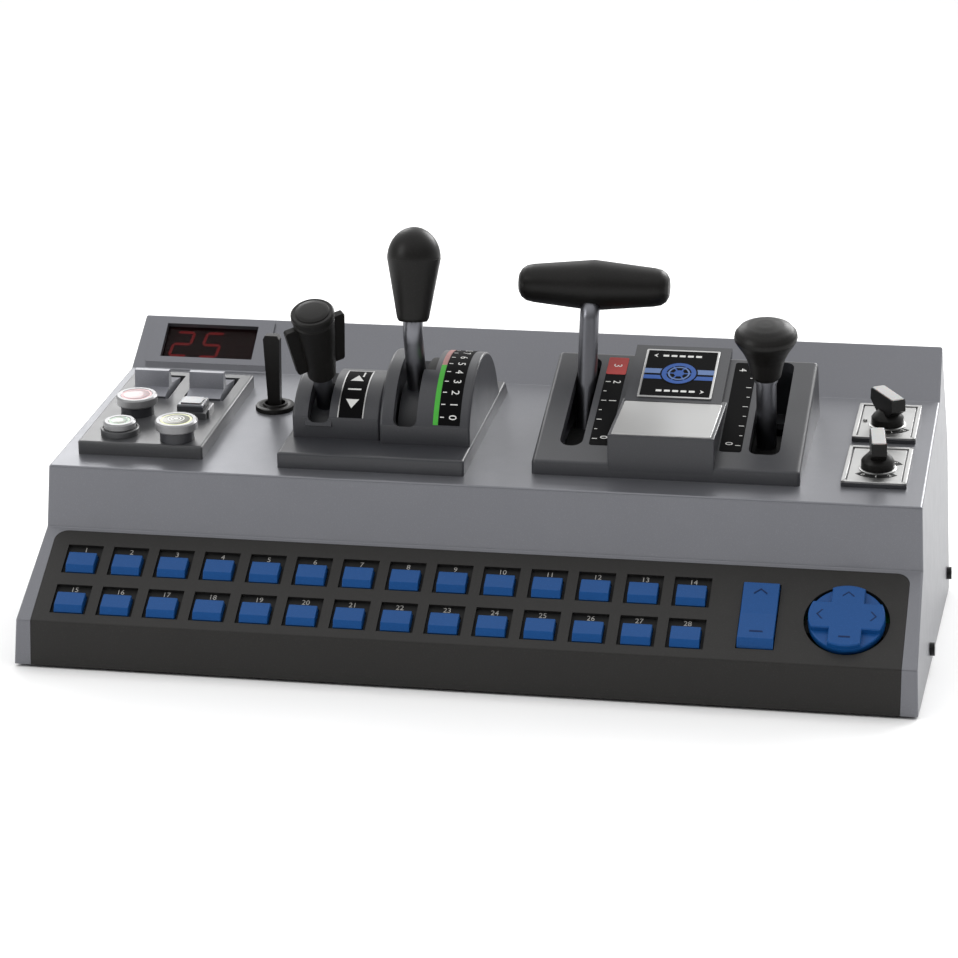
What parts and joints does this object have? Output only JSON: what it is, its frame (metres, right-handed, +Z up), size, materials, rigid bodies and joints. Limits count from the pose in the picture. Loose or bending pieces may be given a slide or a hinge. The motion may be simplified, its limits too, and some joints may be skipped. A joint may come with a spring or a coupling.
{
  "type": "train simulator desk controller",
  "caption": "Wedge-shaped desk controller with a sloping keypad, two housings carrying upright levers, push buttons, rocker switches, rotary knobs and a small display.",
  "frame": {"origin": "centre of the footprint, on the surface the rubber feet stand on", "axes": "+X to the operator's right, +Y away from the operator, +Z up"},
  "size_m": [0.4492, 0.2566, 0.2118],
  "materials": {
    "case_grey": "satin metallic grey moulding",
    "base_steel": "folded steel",
    "black_screw": "black oxide",
    "foot_rubber": "matt",
    "panel_black": "fine-grained matt",
    "display_glass": "smoked",
    "housing_dark": "satin",
    "trim_metal": "bright",
    "board_green": "lacquered board",
    "lever_steel": "satin",
    "knob_black": "satin",
    "rocker_grey": "satin",
    "cap_red": "translucent cap in a pale ring",
    "cap_green": "translucent cap in a pale ring",
    "cap_yellow": "translucent cap in a pale ring",
    "cap_white": "translucent cap",
    "key_blue": "satin",
    "base_plastic": "plain"
  },
  "bodies": {
    "case": {"housing_shell": "case_grey", "base_chassis": "base_steel", "side_screws": "black_screw", "rubber_feet": "foot_rubber", "keypad_bezel": "panel_black", "display_window": "display_glass", "switch_panel": "housing_dark", "throttle_housing": "housing_dark", "brake_housing": "housing_dark", "deck_trim": "trim_metal", "circuit_boards": "board_green"},
    "reverser": {"reverser_lever": "lever_steel", "reverser_handle": "knob_black"},
    "throttle": {"throttle_lever": "lever_steel", "throttle_knob": "knob_black"},
    "auto_brake": {"auto_brake_lever": "lever_steel", "auto_brake_handle": "knob_black"},
    "ind_yoke": {"ind_brake_yoke": "base_steel"},
    "ind_brake": {"ind_brake_lever": "lever_steel", "ind_brake_knob": "knob_black"},
    "whistle": {"whistle_lever": "knob_black"},
    "rocker_left": {"rocker_left": "rocker_grey"},
    "rocker_right": {"rocker_right": "rocker_grey"},
    "red_button": {"red_button": "cap_red"},
    "green_button": {"green_button": "cap_green"},
    "yellow_button": {"yellow_button": "cap_yellow"},
    "square_button": {"square_button": "cap_white"},
    "zoom": {"zoom_rocker": "key_blue"},
    "dpad_gimbal": {"dpad_pivot": "base_plastic"},
    "dpad": {"dpad": "key_blue"},
    "lights_knob": {"lights_knob": "knob_black"},
    "wiper_knob": {"wiper_knob": "knob_black"},
    "key_r1_c01": {"key_r1_c01": "key_blue"},
    "key_r1_c02": {"key_r1_c02": "key_blue"},
    "key_r1_c03": {"key_r1_c03": "key_blue"},
    "key_r1_c04": {"key_r1_c04": "key_blue"},
    "key_r1_c05": {"key_r1_c05": "key_blue"},
    "key_r1_c06": {"key_r1_c06": "key_blue"},
    "key_r1_c07": {"key_r1_c07": "key_blue"},
    "key_r1_c08": {"key_r1_c08": "key_blue"},
    "key_r1_c09": {"key_r1_c09": "key_blue"},
    "key_r1_c10": {"key_r1_c10": "key_blue"},
    "key_r1_c11": {"key_r1_c11": "key_blue"},
    "key_r1_c12": {"key_r1_c12": "key_blue"},
    "key_r1_c13": {"key_r1_c13": "key_blue"},
    "key_r1_c14": {"key_r1_c14": "key_blue"},
    "key_r2_c01": {"key_r2_c01": "key_blue"},
    "key_r2_c02": {"key_r2_c02": "key_blue"},
    "key_r2_c03": {"key_r2_c03": "key_blue"},
    "key_r2_c04": {"key_r2_c04": "key_blue"},
    "key_r2_c05": {"key_r2_c05": "key_blue"},
    "key_r2_c06": {"key_r2_c06": "key_blue"},
    "key_r2_c07": {"key_r2_c07": "key_blue"},
    "key_r2_c08": {"key_r2_c08": "key_blue"},
    "key_r2_c09": {"key_r2_c09": "key_blue"},
    "key_r2_c10": {"key_r2_c10": "key_blue"},
    "key_r2_c11": {"key_r2_c11": "key_blue"},
    "key_r2_c12": {"key_r2_c12": "key_blue"},
    "key_r2_c13": {"key_r2_c13": "key_blue"},
    "key_r2_c14": {"key_r2_c14": "key_blue"}
  },
  "joints": [
    {"name": "reverser_hinge", "type": "hinge", "parent": "case", "child": "reverser", "pos_m": [-0.0866, -0.01955, 0.1019], "axis": [1, 0, 0], "range_deg": [-52, 27]},
    {"name": "throttle_hinge", "type": "hinge", "parent": "case", "child": "throttle", "pos_m": [-0.0412, -0.01215, 0.10311], "axis": [1, 0, 0], "range_deg": [-54, 44]},
    {"name": "auto_brake_hinge", "type": "hinge", "parent": "case", "child": "auto_brake", "pos_m": [0.0416, -0.00395, 0.06899], "axis": [1, 0, 0], "range_deg": [-4.5, 48]},
    {"name": "ind_brake_hinge", "type": "hinge", "parent": "case", "child": "ind_yoke", "pos_m": [0.1361, -0.00395, 0.06899], "axis": [1, 0, 0], "range_deg": [-29, 26]},
    {"name": "bail_off_hinge", "type": "hinge", "parent": "ind_yoke", "child": "ind_brake", "pos_m": [0.1361, -0.00923, 0.0862], "axis": [0, 0.956, 0.2935], "range_deg": [0, 4], "stiffness_Nm_per_rad": 0.6, "springref_deg": -2.86},
    {"name": "whistle_hinge", "type": "hinge", "parent": "case", "child": "whistle", "pos_m": [-0.1244, 0.01362, 0.10225], "axis": [1, 0, 0], "range_deg": [-11, 11], "stiffness_Nm_per_rad": 0.08},
    {"name": "rocker_left_hinge", "type": "hinge", "parent": "case", "child": "rocker_left", "pos_m": [-0.1898, 0.01746, 0.10794], "axis": [1, 0, 0], "range_deg": [-8, 8]},
    {"name": "rocker_right_hinge", "type": "hinge", "parent": "case", "child": "rocker_right", "pos_m": [-0.1603, 0.01746, 0.10794], "axis": [1, 0, 0], "range_deg": [-8, 8]},
    {"name": "red_button_press", "type": "slide", "parent": "case", "child": "red_button", "axis": [0, 0.1611, -0.9869], "range_m": [0, 0.0025], "stiffness_N_per_m": 400, "springref_m": -0.001},
    {"name": "green_button_press", "type": "slide", "parent": "case", "child": "green_button", "axis": [0, 0.1611, -0.9869], "range_m": [0, 0.0025], "stiffness_N_per_m": 400, "springref_m": -0.001},
    {"name": "yellow_button_press", "type": "slide", "parent": "case", "child": "yellow_button", "axis": [0, 0.1611, -0.9869], "range_m": [0, 0.0025], "stiffness_N_per_m": 400, "springref_m": -0.001},
    {"name": "square_button_press", "type": "slide", "parent": "case", "child": "square_button", "axis": [0, 0.1611, -0.9869], "range_m": [0, 0.0025], "stiffness_N_per_m": 400, "springref_m": -0.001},
    {"name": "zoom_hinge", "type": "hinge", "parent": "case", "child": "zoom", "pos_m": [0.1436, -0.10253, 0.03582], "axis": [1, 0, 0], "range_deg": [-3.5, 3.5], "stiffness_Nm_per_rad": 0.3},
    {"name": "dpad_up_down", "type": "hinge", "parent": "case", "child": "dpad_gimbal", "pos_m": [0.1858, -0.10115, 0.03435], "axis": [1, 0, 0], "range_deg": [-4, 4], "stiffness_Nm_per_rad": 0.4},
    {"name": "dpad_left_right", "type": "hinge", "parent": "dpad_gimbal", "child": "dpad", "pos_m": [0.1858, -0.10115, 0.03435], "axis": [0, 0.7929, 0.6093], "range_deg": [-4, 4], "stiffness_Nm_per_rad": 0.4},
    {"name": "lights_knob_turn", "type": "hinge", "parent": "case", "child": "lights_knob", "pos_m": [0.1934, -0.0383, 0.09885], "axis": [0, -0.1611, 0.9869], "range_deg": [-37, 23]},
    {"name": "wiper_knob_turn", "type": "hinge", "parent": "case", "child": "wiper_knob", "pos_m": [0.1934, 0.02219, 0.10872], "axis": [0, -0.1611, 0.9869], "range_deg": [-91.6, 28.4]},
    {"name": "key_r1_c01_press", "type": "slide", "parent": "case", "child": "key_r1_c01", "axis": [0, 0.6093, -0.7929], "range_m": [0, 0.0015], "stiffness_N_per_m": 400, "springref_m": -0.001},
    {"name": "key_r1_c02_press", "type": "slide", "parent": "case", "child": "key_r1_c02", "axis": [0, 0.6093, -0.7929], "range_m": [0, 0.0015], "stiffness_N_per_m": 400, "springref_m": -0.001},
    {"name": "key_r1_c03_press", "type": "slide", "parent": "case", "child": "key_r1_c03", "axis": [0, 0.6093, -0.7929], "range_m": [0, 0.0015], "stiffness_N_per_m": 400, "springref_m": -0.001},
    {"name": "key_r1_c04_press", "type": "slide", "parent": "case", "child": "key_r1_c04", "axis": [0, 0.6093, -0.7929], "range_m": [0, 0.0015], "stiffness_N_per_m": 400, "springref_m": -0.001},
    {"name": "key_r1_c05_press", "type": "slide", "parent": "case", "child": "key_r1_c05", "axis": [0, 0.6093, -0.7929], "range_m": [0, 0.0015], "stiffness_N_per_m": 400, "springref_m": -0.001},
    {"name": "key_r1_c06_press", "type": "slide", "parent": "case", "child": "key_r1_c06", "axis": [0, 0.6093, -0.7929], "range_m": [0, 0.0015], "stiffness_N_per_m": 400, "springref_m": -0.001},
    {"name": "key_r1_c07_press", "type": "slide", "parent": "case", "child": "key_r1_c07", "axis": [0, 0.6093, -0.7929], "range_m": [0, 0.0015], "stiffness_N_per_m": 400, "springref_m": -0.001},
    {"name": "key_r1_c08_press", "type": "slide", "parent": "case", "child": "key_r1_c08", "axis": [0, 0.6093, -0.7929], "range_m": [0, 0.0015], "stiffness_N_per_m": 400, "springref_m": -0.001},
    {"name": "key_r1_c09_press", "type": "slide", "parent": "case", "child": "key_r1_c09", "axis": [0, 0.6093, -0.7929], "range_m": [0, 0.0015], "stiffness_N_per_m": 400, "springref_m": -0.001},
    {"name": "key_r1_c10_press", "type": "slide", "parent": "case", "child": "key_r1_c10", "axis": [0, 0.6093, -0.7929], "range_m": [0, 0.0015], "stiffness_N_per_m": 400, "springref_m": -0.001},
    {"name": "key_r1_c11_press", "type": "slide", "parent": "case", "child": "key_r1_c11", "axis": [0, 0.6093, -0.7929], "range_m": [0, 0.0015], "stiffness_N_per_m": 400, "springref_m": -0.001},
    {"name": "key_r1_c12_press", "type": "slide", "parent": "case", "child": "key_r1_c12", "axis": [0, 0.6093, -0.7929], "range_m": [0, 0.0015], "stiffness_N_per_m": 400, "springref_m": -0.001},
    {"name": "key_r1_c13_press", "type": "slide", "parent": "case", "child": "key_r1_c13", "axis": [0, 0.6093, -0.7929], "range_m": [0, 0.0015], "stiffness_N_per_m": 400, "springref_m": -0.001},
    {"name": "key_r1_c14_press", "type": "slide", "parent": "case", "child": "key_r1_c14", "axis": [0, 0.6093, -0.7929], "range_m": [0, 0.0015], "stiffness_N_per_m": 400, "springref_m": -0.001},
    {"name": "key_r2_c01_press", "type": "slide", "parent": "case", "child": "key_r2_c01", "axis": [0, 0.6093, -0.7929], "range_m": [0, 0.0015], "stiffness_N_per_m": 400, "springref_m": -0.001},
    {"name": "key_r2_c02_press", "type": "slide", "parent": "case", "child": "key_r2_c02", "axis": [0, 0.6093, -0.7929], "range_m": [0, 0.0015], "stiffness_N_per_m": 400, "springref_m": -0.001},
    {"name": "key_r2_c03_press", "type": "slide", "parent": "case", "child": "key_r2_c03", "axis": [0, 0.6093, -0.7929], "range_m": [0, 0.0015], "stiffness_N_per_m": 400, "springref_m": -0.001},
    {"name": "key_r2_c04_press", "type": "slide", "parent": "case", "child": "key_r2_c04", "axis": [0, 0.6093, -0.7929], "range_m": [0, 0.0015], "stiffness_N_per_m": 400, "springref_m": -0.001},
    {"name": "key_r2_c05_press", "type": "slide", "parent": "case", "child": "key_r2_c05", "axis": [0, 0.6093, -0.7929], "range_m": [0, 0.0015], "stiffness_N_per_m": 400, "springref_m": -0.001},
    {"name": "key_r2_c06_press", "type": "slide", "parent": "case", "child": "key_r2_c06", "axis": [0, 0.6093, -0.7929], "range_m": [0, 0.0015], "stiffness_N_per_m": 400, "springref_m": -0.001},
    {"name": "key_r2_c07_press", "type": "slide", "parent": "case", "child": "key_r2_c07", "axis": [0, 0.6093, -0.7929], "range_m": [0, 0.0015], "stiffness_N_per_m": 400, "springref_m": -0.001},
    {"name": "key_r2_c08_press", "type": "slide", "parent": "case", "child": "key_r2_c08", "axis": [0, 0.6093, -0.7929], "range_m": [0, 0.0015], "stiffness_N_per_m": 400, "springref_m": -0.001},
    {"name": "key_r2_c09_press", "type": "slide", "parent": "case", "child": "key_r2_c09", "axis": [0, 0.6093, -0.7929], "range_m": [0, 0.0015], "stiffness_N_per_m": 400, "springref_m": -0.001},
    {"name": "key_r2_c10_press", "type": "slide", "parent": "case", "child": "key_r2_c10", "axis": [0, 0.6093, -0.7929], "range_m": [0, 0.0015], "stiffness_N_per_m": 400, "springref_m": -0.001},
    {"name": "key_r2_c11_press", "type": "slide", "parent": "case", "child": "key_r2_c11", "axis": [0, 0.6093, -0.7929], "range_m": [0, 0.0015], "stiffness_N_per_m": 400, "springref_m": -0.001},
    {"name": "key_r2_c12_press", "type": "slide", "parent": "case", "child": "key_r2_c12", "axis": [0, 0.6093, -0.7929], "range_m": [0, 0.0015], "stiffness_N_per_m": 400, "springref_m": -0.001},
    {"name": "key_r2_c13_press", "type": "slide", "parent": "case", "child": "key_r2_c13", "axis": [0, 0.6093, -0.7929], "range_m": [0, 0.0015], "stiffness_N_per_m": 400, "springref_m": -0.001},
    {"name": "key_r2_c14_press", "type": "slide", "parent": "case", "child": "key_r2_c14", "axis": [0, 0.6093, -0.7929], "range_m": [0, 0.0015], "stiffness_N_per_m": 400, "springref_m": -0.001}
  ]
}
